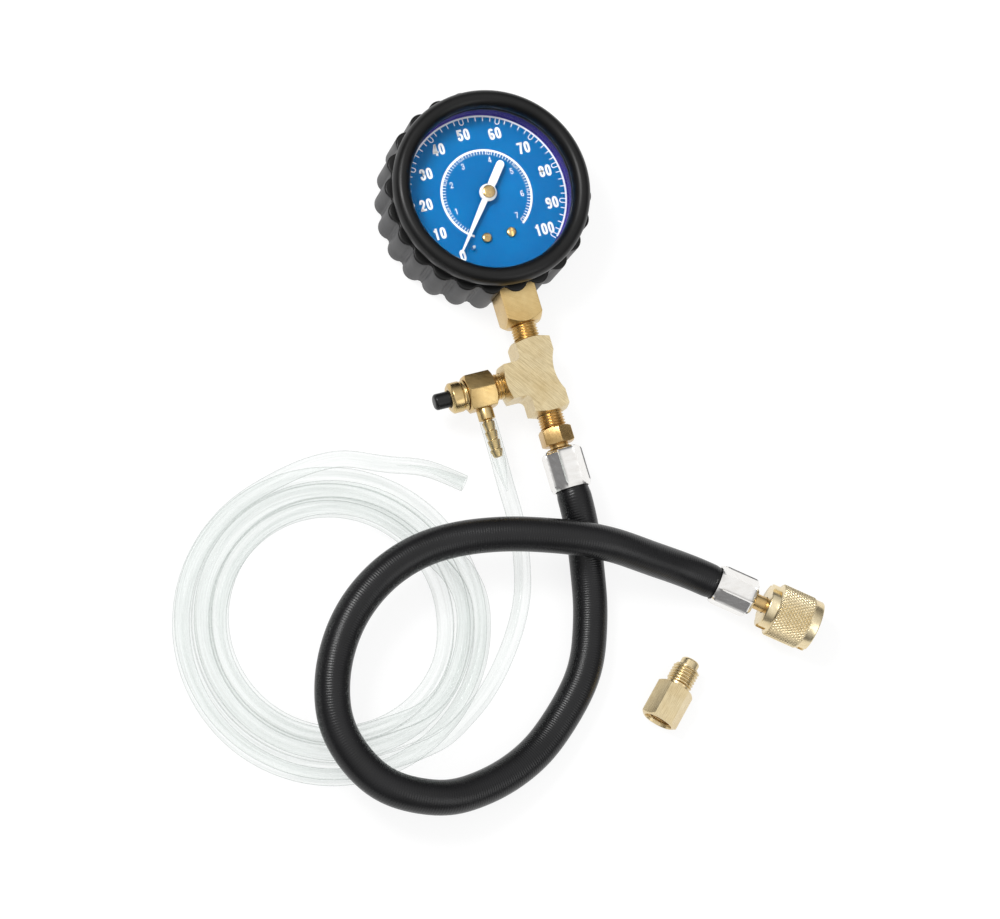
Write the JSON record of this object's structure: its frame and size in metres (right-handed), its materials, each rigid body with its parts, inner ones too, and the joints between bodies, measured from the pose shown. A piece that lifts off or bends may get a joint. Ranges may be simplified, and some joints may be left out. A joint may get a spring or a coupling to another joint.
{
  "type": "fuel pressure tester",
  "caption": "Dial pressure gauge in a lobed rubber boot, with a brass tee, push-button bleed valve, short rubber hose with knurled coupling, clear drain tube and loose adapter.",
  "frame": {"origin": "centre of the boot's back face", "axes": "+Z out of the dial, +Y to the dial's twelve o'clock, so the stem runs along -Y and the bleed valve along -X"},
  "size_m": [0.2414, 0.2622, 0.0305],
  "materials": {
    "brass": "brushed",
    "nickel": "polished",
    "steel": "plain",
    "black_paint": "satin",
    "boot_rubber": "satin",
    "hose_rubber": "satin",
    "seal_rubber": "matte",
    "dial_blue": "satin",
    "white_paint": "satin",
    "clear_lens": "clear",
    "clear_vinyl": "clear",
    "black_plastic": "satin"
  },
  "bodies": {
    "tester": {"adapter_body": "brass", "adapter_seal": "seal_rubber", "bleed_tube_coil": "clear_vinyl", "bleed_tube_lead": "clear_vinyl", "bleed_tube_tail": "clear_vinyl", "boot": "boot_rubber", "bourdon_tube": "brass", "case_screw_1": "steel", "case_screw_2": "steel", "case_shell": "black_paint", "core_depressor": "brass", "coupling_seal": "seal_rubber", "coupling_stem": "brass", "dial_plate": "dial_blue", "dial_screw_1": "brass", "dial_screw_2": "brass", "ferrule_far": "nickel", "ferrule_near": "nickel", "hose": "hose_rubber", "hose_barb": "brass", "hose_end_far": "hose_rubber", "hose_end_near": "hose_rubber", "hose_nipple": "brass", "lens": "clear_lens", "lens_gasket": "seal_rubber", "movement_back_plate": "brass", "movement_front_plate": "brass", "socket_stem": "brass", "stop_pin": "steel", "tee_body": "brass", "valve_body": "brass", "valve_cap": "brass", "valve_spring": "steel"},
    "pointer": {"pointer": "white_paint", "pointer_cap": "brass", "pinion_arbor": "brass"},
    "sector": {"sector_gear": "brass"},
    "tube_tip": {"tube_tip": "brass", "link": "brass"},
    "valve_plunger": {"valve_button": "black_plastic", "valve_stem": "steel", "valve_seal": "seal_rubber"},
    "coupling_nut": {"coupling_nut": "brass"}
  },
  "joints": [
    {"name": "pointer_hinge", "type": "hinge", "parent": "tester", "child": "pointer", "pos_m": [0, 0, 0.02], "axis": [0, 0, -1], "range_deg": [0, 276], "stiffness_Nm_per_rad": 0.0005},
    {"name": "sector_hinge", "type": "hinge", "parent": "tester", "child": "sector", "pos_m": [0.01634, 0.0023, 0.0106], "axis": [0, 0, 1], "range_deg": [0, 27.6]},
    {"name": "tip_hinge", "type": "hinge", "parent": "tester", "child": "tube_tip", "pos_m": [-0.00377, 0.00189, 0.0106], "axis": [0, 0, 1], "range_deg": [0, 5.47], "deforming": ["bourdon_tube"]},
    {"name": "valve_slide", "type": "slide", "parent": "tester", "child": "valve_plunger", "axis": [1, 0, 0], "range_m": [0, 0.0025], "stiffness_N_per_m": 600, "springref_m": -0.004, "deforming": ["valve_spring"]},
    {"name": "nut_hinge", "type": "hinge", "parent": "tester", "child": "coupling_nut", "pos_m": [0.0573, -0.17498, 0.0104], "axis": [0.7815, -0.6239, 0], "continuous": true}
  ],
  "couplings": [
    {"joint": "sector_hinge", "follows": "pointer_hinge", "ratio": 0.1},
    {"joint": "tip_hinge", "follows": "pointer_hinge", "ratio": 0.019815}
  ]
}
